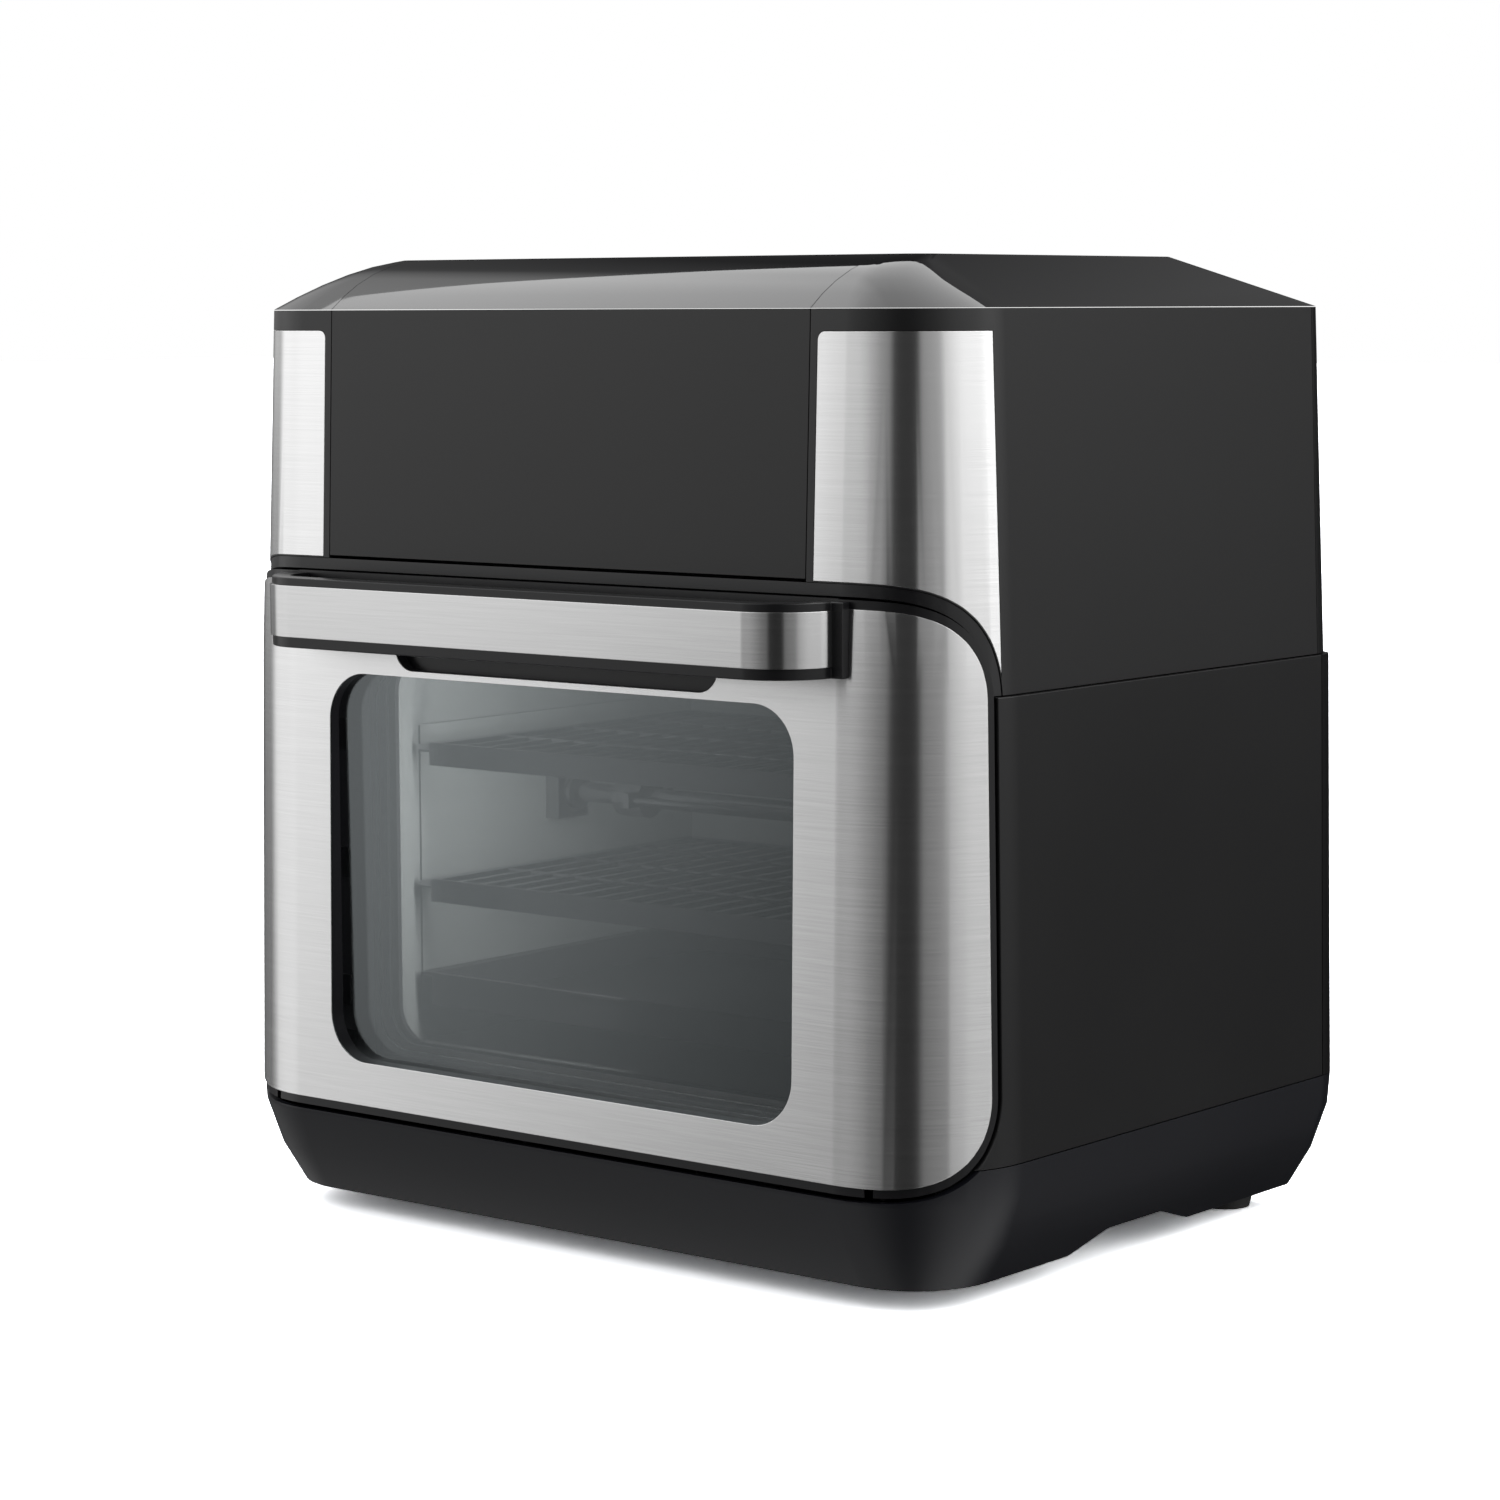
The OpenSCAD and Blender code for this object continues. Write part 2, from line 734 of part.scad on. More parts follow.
// One fork on the right of the spit: a hub, a cross piece and two pointed prongs
module fork()
    union() {
        difference() {
            union() {
                bar_x(fork_x, fork_x + hub_l, 0, spit_z, hub_r);
                box([fork_x, -prong_off - 3, spit_z - 3], [fork_x + 3, prong_off + 3, spit_z + 3]);
            }
            bar_x(fork_x - 1, fork_x + hub_l + 1, 0, spit_z, spit_r + run_gap);
            translate([fork_screw_x, 0, spit_z]) cylinder(r = screw_r + run_gap, h = 2 * hub_r);
        }
        for (y = [-prong_off, prong_off]) {
            bar_x(fork_x - prong_l, fork_x + 1, y, spit_z, 1.5);
            translate([fork_x - prong_l, y, spit_z]) rotate([0, -90, 0]) cylinder(r1 = 1.5, r2 = 0.3, h = 7);
        }
    }

module fork_right() place() color("#b9bbbe") fork();

module fork_left() place() color("#b9bbbe") mirror([1, 0, 0]) fork();

// The thumb screw that clamps a fork to the rod
module fork_screw()
    translate([fork_screw_x, 0, spit_z + spit_r + 0.1]) {
        cylinder(r = screw_r, h = hub_r - spit_r + 1);
        translate([0, 0, hub_r - spit_r + 0.6]) cylinder(r = 4.5, h = 2);
        translate([-1, -6, hub_r - spit_r + 2]) cube([2, 12, 5]);
    }

module fork_screw_right() place() color("#8c8e92") fork_screw();

module fork_screw_left() place() color("#8c8e92") mirror([1, 0, 0]) fork_screw();

// ---- electronics and small parts ----

module display_board() place() color("#1f5b3a")
    union() {
        box([-95, board_y, 270], [95, board_y + 1.6, 342]);
        box([-30, board_y + 1.6, 290], [30, board_y + 7, 320]);
        for (x = [-85 : 17 : 85]) bar_y(x, board_y - 2, board_y, 276, 4);
    }

module control_board() place() color("#1f5b3a")
    union() {
        box([-150, -50, roof_z + 12], [-100, 40, roof_z + 13.6]);
        box([-145, -40, roof_z + 13.6], [-120, -15, roof_z + 30]);
        for (y = [0, 18]) translate([-115, y, roof_z + 13]) cylinder(r = 6, h = 18);
        for (y = [-46, 36]) translate([-107, y, roof_z]) cylinder(r = 2, h = 12.5);
    }

module power_board() place() color("#2a6b46")
    union() {
        box([100, -50, roof_z + 12], [150, 40, roof_z + 13.6]);
        box([108, -40, roof_z + 13.6], [138, -8, roof_z + 38]);
        for (y = [8, 26]) translate([128, y, roof_z + 13]) cylinder(r = 7, h = 22);
        for (y = [-46, 36]) translate([107, y, roof_z]) cylinder(r = 2, h = 12.5);
    }

lamp_y = cavity_y1 - 35.4;
lamp_z = 205;
lens_r = 13;

module lamp_lens() place() color("#dfe6e8")
    union() {
        bar_x(cavity_x - 2, cavity_x + sheet, lamp_y, lamp_z, lens_r);
        bar_x(cavity_x - 3, cavity_x - 1.99, lamp_y, lamp_z, lens_r - 2);
    }

module cavity_lamp() place() color("#e8e2d0")
    union() {
        bar_x(cavity_x + sheet, cavity_x + 5, lamp_y, lamp_z, lens_r + 3);
        bar_x(cavity_x + 5, cavity_x + 30, lamp_y, lamp_z, 9);
    }

probe_x = 60;
probe_z = 205;
probe_r = 2.5;

module temperature_probe() place() color("#c0c2c5")
    union() {
        bar_y(probe_x, cavity_y1 - 22, cavity_y1 + sheet + 6, probe_z, probe_r);
        bar_y(probe_x, cavity_y1 + sheet, cavity_y1 + sheet + 4, probe_z, 6);
    }

module thermal_fuse() place() color("#d8d2c4")
    translate([pan_r - 27, cavity_mid - 25, pan_top])
        union() {
            cylinder(r = 8, h = 3);
            box([-14, -5, 0], [14, 5, 1.5]);
        }

switch_x = -corner_x - 6.5;
switch_z = door_top_c + 9.3;
plunger_r = 2;

module door_switch() place() color("#26262a")
    difference() {
        box([switch_x - 7, plate_y + plate_t, switch_z - 12], [switch_x + 7, plate_y + 24, switch_z + 8]);
        bar_y(switch_x, plate_y, plate_y + 16, switch_z, plunger_r + run_gap);
    }

module switch_plunger() place() color("#c43b2f")
    bar_y(switch_x, door_back + 0.4, plate_y + 12, switch_z, plunger_r);

module cord_gland() place() color("#161618")
    difference() {
        union() {
            bar_y(gland_x, gland_y - 14, gland_y - 1, gland_z, gland_r);
            bar_y(gland_x, gland_y - 14, gland_y - wall - 1.2, gland_z, gland_r + 3);
        }
        bar_y(gland_x, gland_y - 15, gland_y + 1, gland_z, cord_r);
    }

gland_y = body_d / 2 + out_at(gland_z);

module gasket() place() color("#3a3a3c")
    along_y(door_back + 0.4, plate_y)
        difference() {
            rounded_rect(-opening_x - 9, opening_low - 7, opening_x + 9, opening_top + 8, 20);
            rounded_rect(-opening_x - 3.5, opening_low - 1.5, opening_x + 3.5, opening_top + 2.5, 15);
        }

module hinge_arms() place() color("#77797d")
    both_sides()
        difference() {
            union() {
                bar_x(arm_x, arm_x + arm_t, hinge_y, hinge_z, arm_r);
                box([arm_x, hinge_y, hinge_z - arm_r], [arm_x + arm_t, plate_y, hinge_z + arm_r]);
                box([arm_x - 5, plate_y - 1.2, hinge_z - arm_r], [arm_x + arm_t + 5, plate_y, hinge_z + arm_r]);
            }
            bar_x(arm_x - 1, arm_x + arm_t + 1, hinge_y, hinge_z, pin_r + run_gap);
        }

// ---- door ----

module window(grow, y0, y1)
    along_y(y0, y1)
        rounded_rect(-window_x - grow, window_low - grow, window_x + grow, window_top + grow, window_r + grow);

module recess_outline(grow)
    rounded_rect(-recess_x - grow, recess_low - grow, recess_x + grow, recess_top + grow, 9 + grow);

module door_skin() place() color("#c6c7c8")
    difference() {
        intersection() {
            door_form(0);
            bay(door_r);
        }
        door_form(skin_t);
        window(0, -big, 0);
        along_y(-big, 0) recess_outline(0);
    }

module door_frame() place() color("#151517")
    difference() {
        union() {
            difference() {
                intersection() {
                    door_form(skin_t);
                    union() {
                        middle(wing_x, door_back - liner_t);
                        intersection() {
                            bay(edge_r);
                            both_sides() box([wing_x - wing_wall, -big, 0], [big, 0, big]);
                        }
                    }
                }
                intersection() {
                    door_form(frame_t);
                    union() {
                        middle(wing_x - wing_wall, 0, frame_wall);
                        intersection() {
                            bay(edge_r - frame_wall);
                            both_sides() box([wing_x, -big, 0], [big, 0, big]);
                        }
                    }
                }
            }
            window(2, door_face(window_top + 2) + skin_t + 0.1, glass_y);
            along_y(door_face(recess_top) + skin_t + 0.8, recess_back) recess_outline(recess_wall);
        }
        window(0, -big, 0);
        along_y(-big, recess_back - recess_wall) recess_outline(0);
        both_sides() hinge_slot();
    }

// Room in the door for a hinge arm and its blocks
module hinge_slot() {
    box([arm_x - 5, hinge_y - arm_r - 0.6, 0], [arm_x + arm_t + 5, 0, hinge_z + arm_r + 1]);
    bar_x(arm_x - 5, arm_x + arm_t + 5, hinge_y, hinge_z, arm_r + 0.6);
}

module door_liner() place() color("#a9abae")
    difference() {
        intersection() {
            middle(wing_x - wing_wall - 0.1, door_back);
            box([-big, door_back - liner_t, hinge_z], [big, door_back, big]);
        }
        along_y(-big, 0)
            rounded_rect(-opening_x, opening_low, opening_x, opening_top - 2, 14);
        both_sides() hinge_slot();
    }

module door_glass_outer() place() color("#56605f", 0.4)
    along_y(glass_y, glass_y + glass_t)
        rounded_rect(-window_x - 5, window_low - 5, window_x + 5, window_top + 0.7, 3);

module door_glass_inner() place() color("#56605f", 0.4)
    along_y(inner_glass_y, inner_glass_y + glass_t)
        rounded_rect(-window_x - 4, window_low - 4, window_x + 4, opening_top + 3, 3);

module glass_clips() place() color("#8c8e92")
    for (x = [-window_x - 5, window_x + 5], z = [90, 140, 190])
        box([x - 5, glass_y + glass_t, z - 6], [x + 5, glass_y + glass_t + 1.2, z + 6]);

// Two blocks on each side that hold the pin, seated on the door skin's inner face
module door_hinge_blocks() place() color("#6c6e72")
    both_sides()
        for (x = [arm_x - 4.6, arm_x + arm_t + 0.6])
            difference() {
                box([x, hinge_y - 4.6, hinge_z - 5], [x + 4, hinge_y + 8, hinge_z + arm_r + 1]);
                bar_x(x - 1, x + 5, hinge_y, hinge_z, pin_r);
            }

module hinge_pins() place() color("#c0c2c5")
    both_sides() bar_x(arm_x - 4.6, arm_x + arm_t + 4.6, hinge_y, hinge_z, pin_r);

// ---- handle ----

handle_x = handle_flat + bend_r;
leg_w = 4;
leg_reach = 4;
leg_y = -handle_front + handle_reach - leg_reach;
core_over = 3;

// Plan outline of the bar, bent back at both ends, set back from its front by depth
module bar_outline(depth) {
    translate([-handle_flat, -handle_front + depth]) square([2 * handle_flat, handle_reach]);
    translate([-handle_x + depth, -handle_front + bend_r])
        square([2 * (handle_x - depth), handle_reach - bend_r + leg_reach]);
    for (sx = [-1, 1])
        translate([sx * handle_flat, -handle_front + bend_r]) circle(r = bend_r - depth, $fn = 128);
}

module handle_core() place() color("#101012")
    difference() {
        translate([0, 0, handle_low - 4])
            linear_extrude(handle_h + 4 + core_over)
                difference() {
                    union() {
                        bar_outline(skin_t);
                        translate([-handle_x - leg_w, leg_y])
                            square([2 * (handle_x + leg_w), 2 * leg_reach]);
                    }
                    bar_outline(grip_t);
                    translate([-handle_x + grip_t, -handle_front + bend_r])
                        square([2 * (handle_x - grip_t), handle_reach]);
                }
        upper_form(-seam_step, seam_z, edge_z);
    }

module handle_skin() place() color("#cfd0d1")
    translate([0, 0, handle_low])
        linear_extrude(handle_h)
            difference() {
                bar_outline(0);
                bar_outline(skin_t);
                translate([-big, leg_y]) square([2 * big, big]);
            }

base_tray();
feet();
case_screws();
lower_side_left();
lower_side_right();
lower_rear_cover();
upper_side_left();
upper_side_right();
upper_rear_cover();
top_cover();
top_end_left();
top_end_right();
control_panel();
front_lip();
steel_strip_left();
steel_strip_right();
front_frame();
cavity();
rack_guides();
rack_upper();
rack_lower();
drip_tray();
fan_housing();
fan_guard();
heating_element();
motor_bracket();
fan_motor();
spit_motor();
spit_support();
display_board();
control_board();
power_board();
cavity_lamp();
lamp_lens();
temperature_probe();
thermal_fuse();
door_switch();
cord_gland();
hinge_arms();
gasket();
door_skin();
door_frame();
door_liner();
door_glass_outer();
door_glass_inner();
glass_clips();
door_hinge_blocks();
hinge_pins();
handle_core();
handle_skin();
spit_rod();
drive_socket();
fork_left();
fork_right();
fork_screw_left();
fork_screw_right();
fan_shaft();
convection_fan();
cooling_fan();
switch_plunger();
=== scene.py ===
import json
import math

import bpy
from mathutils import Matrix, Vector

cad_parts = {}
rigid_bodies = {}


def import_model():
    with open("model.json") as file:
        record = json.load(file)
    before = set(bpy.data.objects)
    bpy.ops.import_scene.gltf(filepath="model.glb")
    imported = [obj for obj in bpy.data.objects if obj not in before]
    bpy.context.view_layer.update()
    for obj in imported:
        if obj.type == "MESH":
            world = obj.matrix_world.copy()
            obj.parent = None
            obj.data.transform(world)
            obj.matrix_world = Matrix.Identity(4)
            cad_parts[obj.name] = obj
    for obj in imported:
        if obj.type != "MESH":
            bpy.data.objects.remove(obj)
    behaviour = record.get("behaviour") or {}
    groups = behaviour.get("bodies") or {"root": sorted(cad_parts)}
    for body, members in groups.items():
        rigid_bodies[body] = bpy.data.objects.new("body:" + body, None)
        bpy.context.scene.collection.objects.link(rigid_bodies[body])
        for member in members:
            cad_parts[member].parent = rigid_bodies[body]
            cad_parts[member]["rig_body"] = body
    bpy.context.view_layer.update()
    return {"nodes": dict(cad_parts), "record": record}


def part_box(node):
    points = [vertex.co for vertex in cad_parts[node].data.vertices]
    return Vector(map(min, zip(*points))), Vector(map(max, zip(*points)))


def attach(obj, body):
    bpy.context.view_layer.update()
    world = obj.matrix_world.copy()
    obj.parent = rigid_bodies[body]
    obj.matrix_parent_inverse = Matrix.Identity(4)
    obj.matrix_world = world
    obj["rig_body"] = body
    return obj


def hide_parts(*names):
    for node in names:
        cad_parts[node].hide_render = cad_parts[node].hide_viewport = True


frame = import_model()

# ---- Camera ----
# A long lens stands to the right of the door at the height of the oven's shoulder and
# looks slightly down, so that the front and the right side both show.
camera_aside, camera_back, camera_height = 0.9719, 1.2175, 0.3534
camera_turn, camera_tilt, camera_roll = 38.72, 6.30, 0.206
camera_data = bpy.data.cameras.new("camera")
camera = bpy.data.objects.new("camera", camera_data)
bpy.context.scene.collection.objects.link(camera)
bpy.context.scene.camera = camera
camera_data.lens = 95.75
camera_data.sensor_width = 36
camera_data.shift_x = -0.0125
camera_data.shift_y = -0.0017
camera_data.clip_end = 30
cover_low, cover_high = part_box("top_cover")
cover_middle = (cover_low.y + cover_high.y) / 2
camera.location = (camera_aside, cover_middle - camera_back, camera_height)
camera.rotation_mode = "XYZ"
camera.rotation_euler = (
    math.radians(90 - camera_tilt), math.radians(camera_roll), math.radians(camera_turn))

# ---- Studio ----
# Broad soft panels with dark gaps between them light the oven and show in its curved steel,
# and a lamp hangs overhead. The camera itself sees only a pale backdrop and a pale floor.
bpy.context.scene.view_settings.view_transform = "Standard"
floor_size = 40
floor_seen = (4.4, 4.45, 4.55, 1)
floor_bounce = (0.30, 0.30, 0.31, 1)


def link(tree, start, end):
    tree.links.new(start, end)


def add_node(tree, kind, **values):
    node = tree.nodes.new(kind)
    for name, value in values.items():
        setattr(node, name, value)
    return node


def arithmetic(tree, operation, *inputs):
    """A maths node; each input is a number or another node's output."""
    node = add_node(tree, "ShaderNodeMath", operation=operation)
    for socket, value in zip(node.inputs, inputs):
        if isinstance(value, (int, float)):
            socket.default_value = value
        else:
            link(tree, value, socket)
    return node.outputs[0]


def ramp(tree, factor, stops):
    """A grey ramp through (position, level) stops."""
    node = add_node(tree, "ShaderNodeValToRGB")
    elements = node.color_ramp.elements
    while len(elements) < len(stops):
        elements.new(0.5)
    for element, (position, level) in zip(elements, stops):
        element.position = position
        element.color = (level, level, level, 1)
    link(tree, factor, node.inputs[0])
    return node.outputs[0]


def studio_world():
    """Panels by their turn about the oven, times a rise by height, plus one soft glow."""
    glow_direction = (-0.880, -0.468, 0.087)
    ambient = 0.012
    backdrop = 1.0
    world = bpy.data.worlds.new("studio")
    bpy.context.scene.world = world
    world.use_nodes = True
    tree = world.node_tree
    tree.nodes.clear()
    direction = add_node(tree, "ShaderNodeTexCoord").outputs["Generated"]
    split = add_node(tree, "ShaderNodeSeparateXYZ")
    link(tree, direction, split.inputs[0])
    x, y, z = split.outputs
    back_y = arithmetic(tree, "MULTIPLY", y, -1.0)
    angle = arithmetic(tree, "ARCTAN2", x, back_y)
    turn = arithmetic(tree, "MULTIPLY_ADD", angle, 0.5 / math.pi, 0.5)

    def at(degrees):
        return degrees / 360 + 0.5

    def rise(degrees):
        return math.sin(math.radians(degrees)) / 2 + 0.5

    panels = ramp(tree, turn, [
        (at(-172), 0.01), (at(-157), 0.14), (at(-146), 0.02), (at(-138), 0.02), (at(-131), 0.10),
        (at(-125), 0.55), (at(-108), 1.15), (at(-94), 0.95), (at(-60), 0.62), (at(-38), 0.92),
        (at(-30), 1.05), (at(-22), 1.0), (at(-12), 0.78), (at(2), 0.46), (at(13), 0.32),
        (at(16), 0.03), (at(41), 0.03), (at(44), 0.44), (at(64), 0.58), (at(68), 1.05),
        (at(88), 1.60), (at(109), 1.70), (at(120), 2.3), (at(134), 2.3), (at(143), 1.3),
        (at(147), 0.80), (at(150), 0.25), (at(156), 0.02),
    ])
    height = ramp(tree, arithmetic(tree, "MULTIPLY_ADD", z, 0.5, 0.5), [
        (rise(-70), 0.50), (rise(-32), 0.40), (rise(-16), 0.10), (rise(-4), 0.12),
        (rise(5), 0.75), (rise(14), 1.15), (rise(38), 1.20), (rise(52), 1.00),
        (rise(62), 0.20), (rise(80), 0.05),
    ])
    sides = arithmetic(tree, "MULTIPLY", panels, height)
    beside = add_node(tree, "ShaderNodeVectorMath", operation="DOT_PRODUCT")
    beside.inputs[1].default_value = glow_direction
    link(tree, direction, beside.inputs[0])
    glow = ramp(tree, beside.outputs["Value"], [
        (0.860, 0.0), (0.890, 0.14), (0.910, 0.38), (0.935, 0.66), (0.960, 0.68)])
    total = arithmetic(tree, "ADD", arithmetic(tree, "ADD", sides, glow), ambient)
    seen = add_node(tree, "ShaderNodeLightPath").outputs["Is Camera Ray"]
    strength = add_node(tree, "ShaderNodeMix", data_type="FLOAT")
    link(tree, seen, strength.inputs[0])
    link(tree, total, strength.inputs[2])
    strength.inputs[3].default_value = backdrop
    background = add_node(tree, "ShaderNodeBackground")
    background.inputs["Color"].default_value = (1.0, 1.0, 1.0, 1)
    link(tree, strength.outputs[0], background.inputs["Strength"])
    output = add_node(tree, "ShaderNodeOutputWorld")
    link(tree, background.outputs[0], output.inputs[0])


def area_lamp(name, width, depth, energy, location):
    """A soft rectangular lamp that the camera doesn't see."""
    data = bpy.data.lights.new(name, "AREA")
    data.shape = "RECTANGLE"
    data.size = width
    data.size_y = depth
    data.energy = energy
    lamp = bpy.data.objects.new(name, data)
    lamp.location = location
    lamp.visible_camera = False
    bpy.context.scene.collection.objects.link(lamp)
    return lamp


studio_world()

bpy.ops.object.select_all(action="DESELECT")
bpy.ops.mesh.primitive_plane_add(size=floor_size, location=(0, 0, 0))
floor = bpy.context.active_object
floor.name = "floor"
floor_material = bpy.data.materials.new("pale_floor")
floor_material.use_nodes = True
tree = floor_material.node_tree
tree.nodes.clear()
lit = add_node(tree, "ShaderNodeBsdfDiffuse")
lit.inputs["Color"].default_value = floor_seen
dim = add_node(tree, "ShaderNodeBsdfDiffuse")
dim.inputs["Color"].default_value = floor_bounce
choose = add_node(tree, "ShaderNodeMixShader")
link(tree, add_node(tree, "ShaderNodeLightPath").outputs["Is Camera Ray"], choose.inputs[0])
link(tree, dim.outputs[0], choose.inputs[1])
link(tree, lit.outputs[0], choose.inputs[2])
link(tree, choose.outputs[0], add_node(tree, "ShaderNodeOutputMaterial").inputs[0])
floor.data.materials.append(floor_material)
floor.visible_glossy = False

area_lamp("overhead", width=1.4, depth=1.9, energy=14, location=(-0.5, 0.35, 1.37))

# ---- Black housing panels ----
# Base, side panels, rear covers and the lip over the door are moulded in black plastic with
# a fine spark texture. Their moulded form is remade with softened edges.
softened_angle = math.radians(30)
smooth_angle = math.radians(38)
flat_angle = math.radians(1.0)
weld_distance = 0.00001
stood_for = set()


def pick(piece):
    """Makes a piece the active one and the only one selected."""
    bpy.ops.object.select_all(action="DESELECT")
    piece.select_set(True)
    bpy.context.view_layer.objects.active = piece


def edit_all(piece):
    """Opens a piece for editing with everything in it selected."""
    pick(piece)
    bpy.ops.object.mode_set(mode="EDIT")
    bpy.ops.mesh.select_all(action="SELECT")


def finish_mesh(piece, bevel):
    """Softens a piece's edges and gives it clean shading."""
    pick(piece)
    rounding = piece.modifiers.new("edge", "BEVEL")
    rounding.width = bevel
    rounding.segments = 2
    rounding.limit_method = "ANGLE"
    rounding.angle_limit = softened_angle
    bpy.ops.object.modifier_apply(modifier=rounding.name)
    bpy.ops.object.shade_smooth_by_angle(angle=smooth_angle)
    even = piece.modifiers.new("even", "WEIGHTED_NORMAL")
    even.keep_sharp = True
    bpy.ops.object.modifier_apply(modifier=even.name)


def remade(node, name, bevel=0.0004):
    """A cleaned copy of a CAD node's form, which then stands for that node."""
    piece = bpy.data.objects.new(name, frame["nodes"][node].data.copy())
    bpy.context.scene.collection.objects.link(piece)
    pick(piece)
    piece.data.materials.clear()
    if piece.data.has_custom_normals:
        bpy.ops.mesh.customdata_custom_splitnormals_clear()
    edit_all(piece)
    bpy.ops.mesh.remove_doubles(threshold=weld_distance)
    bpy.ops.mesh.dissolve_limited(angle_limit=flat_angle)
    bpy.ops.object.mode_set(mode="OBJECT")
    finish_mesh(piece, bevel)
    stood_for.add(node)
    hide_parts(node)
    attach(piece, frame["nodes"][node]["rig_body"])
    return piece


def plain_material(name, colour, roughness, metallic=0.0):
    """A material whose constants sit on the shader; returns it with its tree and shader."""
    material = bpy.data.materials.new(name)
    material.use_nodes = True
    shader = material.node_tree.nodes["Principled BSDF"]
    shader.inputs["Base Color"].default_value = (*colour, 1)
    shader.inputs["Roughness"].default_value = roughness
    shader.inputs["Metallic"].default_value = metallic
    return material, material.node_tree, shader


def grain(tree, scale, detail, stretch=(1, 1, 1)):
    """Noise over the object's own coordinates."""
    place = add_node(tree, "ShaderNodeMapping")
    place.inputs["Scale"].default_value = stretch
    link(tree, add_node(tree, "ShaderNodeTexCoord").outputs["Object"], place.inputs["Vector"])
    noise = add_node(tree, "ShaderNodeTexNoise")
    noise.inputs["Scale"].default_value = scale
    noise.inputs["Detail"].default_value = detail
    link(tree, place.outputs[0], noise.inputs["Vector"])
    return noise.outputs["Fac"]


def uneven_gloss(tree, shader, source, low, high):
    """Lets the roughness wander between low and high with a 0 to 1 source."""
    node = add_node(tree, "ShaderNodeMapRange")
    node.inputs["To Min"].default_value = low
    node.inputs["To Max"].default_value = high
    link(tree, source, node.inputs["Value"])
    link(tree, node.outputs[0], shader.inputs["Roughness"])


def raise_surface(tree, shader, height, strength, distance):
    """Fine relief in the shading only."""
    bump = add_node(tree, "ShaderNodeBump")
    bump.inputs["Strength"].default_value = strength
    bump.inputs["Distance"].default_value = distance
    link(tree, height, bump.inputs["Height"])
    link(tree, bump.outputs[0], shader.inputs["Normal"])


def moulded_plastic(name, colour, roughness, grit=0.25):
    """Plastic or paint with fine grit and a slightly cloudy gloss."""
    material, tree, shader = plain_material(name, colour, roughness)
    fine = grain(tree, scale=2600, detail=2)
    cloud = grain(tree, scale=9, detail=3)
    uneven_gloss(tree, shader, cloud, low=roughness - 0.04, high=roughness + 0.05)
    raise_surface(tree, shader, fine, strength=grit, distance=0.00004)
    return material


def dress(piece, material):
    """Gives a piece its one material."""
    piece.data.materials.clear()
    piece.data.materials.append(material)


upper_black = moulded_plastic("upper_black", (0.009, 0.009, 0.0095), 0.34)
lower_black = moulded_plastic("lower_black", (0.004, 0.004, 0.0045), 0.34)
base_black = moulded_plastic("base_black", (0.008, 0.0085, 0.012), 0.34, grit=0.12)
trim_black = moulded_plastic("trim_black", (0.008, 0.008, 0.009), 0.28, grit=0.1)
for node, material in (
    ("base_tray", base_black), ("lower_side_left", lower_black), ("lower_side_right", lower_black),
    ("lower_rear_cover", lower_black), ("upper_side_left", upper_black),
    ("upper_side_right", upper_black), ("upper_rear_cover", upper_black),
    ("front_lip", trim_black),
):
    dress(remade(node, node + "_moulding"), material)

# ---- Glossy top ----
# Centre cover and two ends are moulded in high-gloss black, butted at two seams that run
# back over the slope.
gloss_black, tree, shader = plain_material("gloss_black", (0.003, 0.003, 0.004), 0.03)
uneven_gloss(tree, shader, grain(tree, scale=14, detail=2), low=0.02, high=0.045)
for node in ("top_cover", "top_end_left", "top_end_right"):
    dress(remade(node, node + "_moulding", bevel=0.0002), gloss_black)

# ---- Control panel ----
# A dark touch panel that is blank when it's off. It has a fine satin surface, less glossy
# than the top above it.
panel_black, tree, shader = plain_material("panel_black", (0.004, 0.004, 0.0042), 0.34)
raise_surface(tree, shader, grain(tree, scale=1800, detail=2), strength=0.10, distance=0.00003)
uneven_gloss(tree, shader, grain(tree, scale=7, detail=3), low=0.30, high=0.36)
dress(remade("control_panel", "control_panel_face", bevel=0.0003), panel_black)

# ---- Brushed steel ----
# Corner strips, the door's skin and the handle's face are thin stainless sheet, brushed
# level all the way round.


def brushed_steel(name, level, roughness):
    """Steel of one grey level, with fine level scratches that stretch its highlights."""
    colour = (level, level, level * 0.99)
    material, tree, shader = plain_material(name, colour, roughness, metallic=1.0)
    shader.inputs["Anisotropic"].default_value = 0.90
    shader.inputs["Anisotropic Rotation"].default_value = 0.25
    tangent = add_node(tree, "ShaderNodeTangent", direction_type="RADIAL", axis="Z")
    link(tree, tangent.outputs[0], shader.inputs["Tangent"])
    lines = grain(tree, scale=1.0, detail=2, stretch=(30, 30, 6500))
    soft = grain(tree, scale=1.0, detail=2, stretch=(9, 9, 1500))
    mixed = arithmetic(tree, "MULTIPLY_ADD", soft, 0.15, lines)
    tint = ramp(tree, mixed, [(0.35, level * 0.94), (0.80, level * 1.03)])
    link(tree, tint, shader.inputs["Base Color"])
    uneven_gloss(tree, shader, lines, low=roughness - 0.03, high=roughness + 0.04)
    raise_surface(tree, shader, mixed, strength=0.05, distance=0.00002)
    return material


skin_steel = brushed_steel("skin_steel", level=0.88, roughness=0.24)
handle_steel = brushed_steel("handle_steel", level=0.74, roughness=0.22)
for node, material in (
    ("door_skin", skin_steel), ("steel_strip_left", skin_steel),
    ("steel_strip_right", skin_steel), ("handle_skin", handle_steel),
):
    dress(remade(node, node + "_sheet", bevel=0.00025), material)

# ---- Door frame and handle core ----
# The black moulding behind the door's steel skin, and the black bar inside the handle. Both
# share the black of the lip over the door.
for node in ("door_frame", "handle_core"):
    dress(remade(node, node + "_moulding", bevel=0.0005), trim_black)

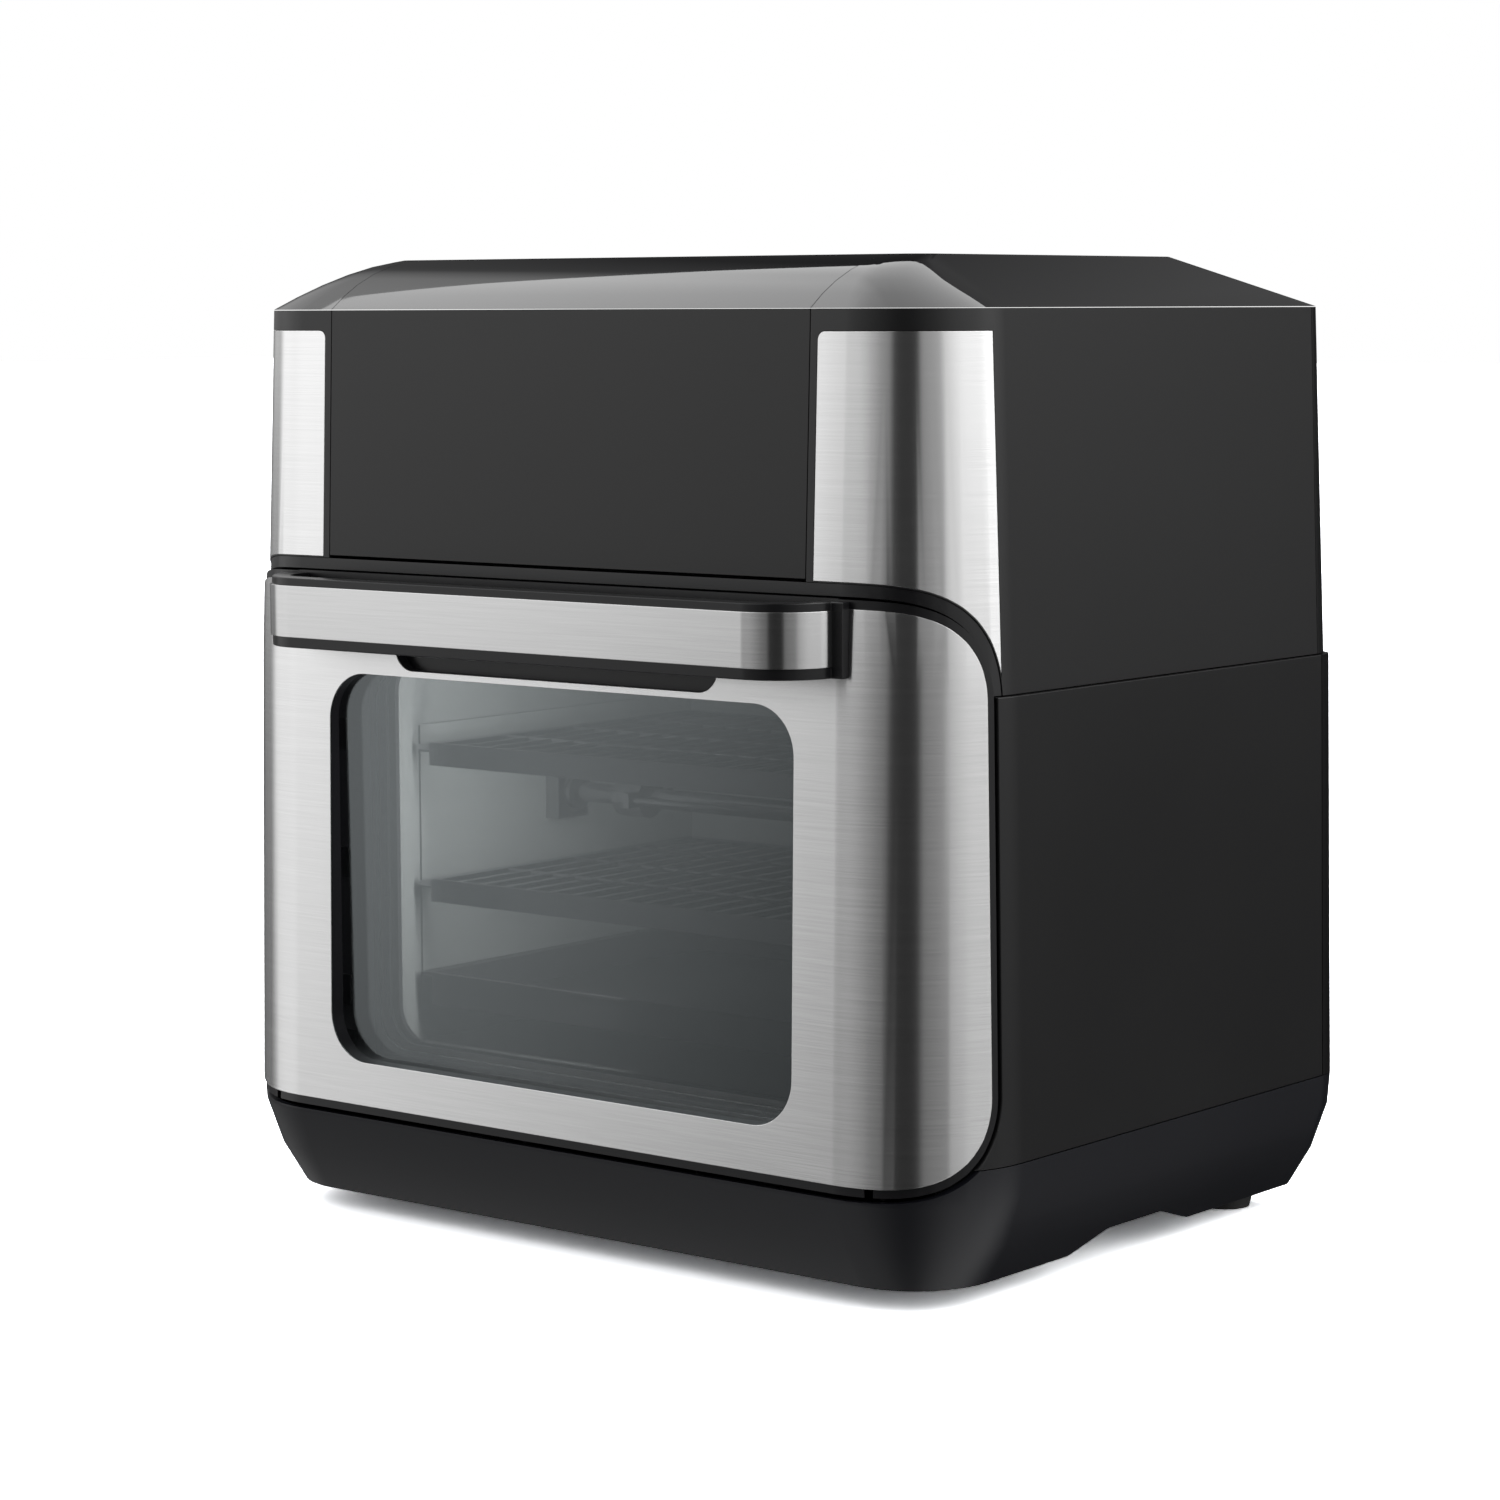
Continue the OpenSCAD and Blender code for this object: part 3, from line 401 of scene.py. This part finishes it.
# ---- Glass ----
# Two smoked toughened panes, one behind the door's steel and one on the door's back. Each
# mirrors part of the studio and lets the rest of the light through.


def smoked_glass(name, colour, alpha):
    """Dark mirror-like glass; alpha is how much of it hides what is behind."""
    material, tree, shader = plain_material(name, colour, 0.06, metallic=1.0)
    shader.inputs["Alpha"].default_value = alpha
    uneven_gloss(tree, shader, grain(tree, scale=6, detail=2), low=0.08, high=0.11)
    return material


outer_glass = smoked_glass("outer_glass", (0.32, 0.35, 0.36), alpha=0.40)
inner_glass = smoked_glass("inner_glass", (0.10, 0.11, 0.115), alpha=0.20)
dress(remade("door_glass_outer", "outer_pane", bevel=0.0005), outer_glass)
dress(remade("door_glass_inner", "inner_pane", bevel=0.0005), inner_glass)

# ---- Inner pane's trim ----
# A thin bright bead of pressed steel runs round the inner pane where the liner holds it,
# a little way in from the pane's edge.
bead_inset, bead_top_inset, bead_corner = 0.004, 0.006, 0.014
bead_stand, bead_width = 0.0001, 0.0006


def bead_ring(name, low_x, high_x, low_z, high_z, corner, y, width):
    """A thin flat ring with round corners, standing upright across the oven."""
    bpy.ops.object.select_all(action="DESELECT")
    bpy.ops.mesh.primitive_plane_add(size=1, location=(0, 0, 0))
    piece = bpy.context.active_object
    piece.name = name
    edit_all(piece)
    bpy.ops.transform.rotate(value=math.radians(90), orient_axis="X", center_override=(0, 0, 0))
    bpy.ops.transform.resize(
        value=(high_x - low_x, 1, high_z - low_z), center_override=(0, 0, 0))
    bpy.ops.transform.translate(value=((low_x + high_x) / 2, y, (low_z + high_z) / 2))
    bpy.ops.mesh.bevel(offset=corner, segments=10, affect="VERTICES")
    bpy.ops.mesh.select_all(action="SELECT")
    bpy.ops.mesh.inset(thickness=width, use_select_inset=False)
    bpy.ops.mesh.delete(type="FACE")
    bpy.ops.mesh.select_all(action="SELECT")
    bpy.ops.mesh.extrude_region_move(TRANSFORM_OT_translate={"value": (0, -width, 0)})
    bpy.ops.mesh.select_all(action="SELECT")
    bpy.ops.mesh.normals_make_consistent(inside=False)
    bpy.ops.object.mode_set(mode="OBJECT")
    return piece


pane_low, pane_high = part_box("door_glass_inner")
trim = bead_ring(
    "inner_pane_trim", pane_low.x + bead_inset, pane_high.x - bead_inset,
    pane_low.z + bead_inset, pane_high.z - bead_top_inset,
    bead_corner, pane_low.y - bead_stand, bead_width)
dress(trim, skin_steel)
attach(trim, frame["nodes"]["door_glass_inner"]["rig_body"])

# ---- Everything inside and underneath ----
# Sheet steel, plated wire, motors, boards and small fittings keep their CAD form, each in
# the finish of its material slot. The cavity and its rack guides are enamelled.
sheet_steel = brushed_steel("sheet_steel", level=0.45, roughness=0.35)


def shiny(name, colour, roughness):
    """A plain bright metal with slightly uneven gloss."""
    material, tree, shader = plain_material(name, colour, roughness, metallic=1.0)
    blotches = grain(tree, scale=90, detail=3)
    uneven_gloss(tree, shader, blotches, low=roughness - 0.05, high=roughness + 0.07)
    return material


lens_glass, tree, shader = plain_material("lens_glass", (0.7, 0.72, 0.72), 0.2)
uneven_gloss(tree, shader, grain(tree, scale=200, detail=2), low=0.15, high=0.3)
oven_enamel = moulded_plastic("oven_enamel", (0.16, 0.17, 0.168), 0.42, grit=0.1)
finishes = {
    "inner_steel": sheet_steel,
    "frame_black": moulded_plastic("enamel_black", (0.02, 0.02, 0.021), 0.3),
    "wire_chrome": shiny("wire_chrome", (0.30, 0.30, 0.31), 0.22),
    "screw_steel": shiny("screw_steel", (0.4, 0.4, 0.41), 0.3),
    "heater": moulded_plastic("heater_tube", (0.06, 0.055, 0.05), 0.5),
    "fan_alloy": shiny("fan_alloy", (0.5, 0.5, 0.5), 0.35),
    "motor_grey": moulded_plastic("motor_grey", (0.12, 0.12, 0.13), 0.4),
    "plain_black": moulded_plastic("plain_black", (0.02, 0.02, 0.02), 0.5),
    "switch_red": moulded_plastic("switch_red", (0.4, 0.03, 0.02), 0.4),
    "board_green": moulded_plastic("board_green", (0.01, 0.10, 0.04), 0.4),
    "ceramic": moulded_plastic("ceramic", (0.7, 0.66, 0.58), 0.4),
    "lens_glass": lens_glass,
    "rubber": moulded_plastic("rubber", (0.015, 0.015, 0.015), 0.7, grit=0.4),
    "black_plastic": trim_black,
}
enamelled = ("cavity", "rack_guides")
slot_of = {row["node"]: row["material_slot"] for row in frame["record"]["subparts"]}
for node, shown in frame["nodes"].items():
    if node not in stood_for:
        finish = oven_enamel if node in enamelled else finishes[slot_of[node]]
        shown.data.materials.clear()
        shown.data.materials.append(finish)

# ---- Light through the glass ----
# A small soft lamp just inside the opening stands for the studio light that the dark glass
# lets in. It faces the cavity's left wall.
cavity_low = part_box("cavity")[0]
inside = area_lamp(
    "inside", width=0.13, depth=0.012, energy=0.8, location=(-0.010, cavity_low.y + 0.004, 0.170))
inside.rotation_euler = (0, math.radians(85), 0)
inside.visible_glossy = False
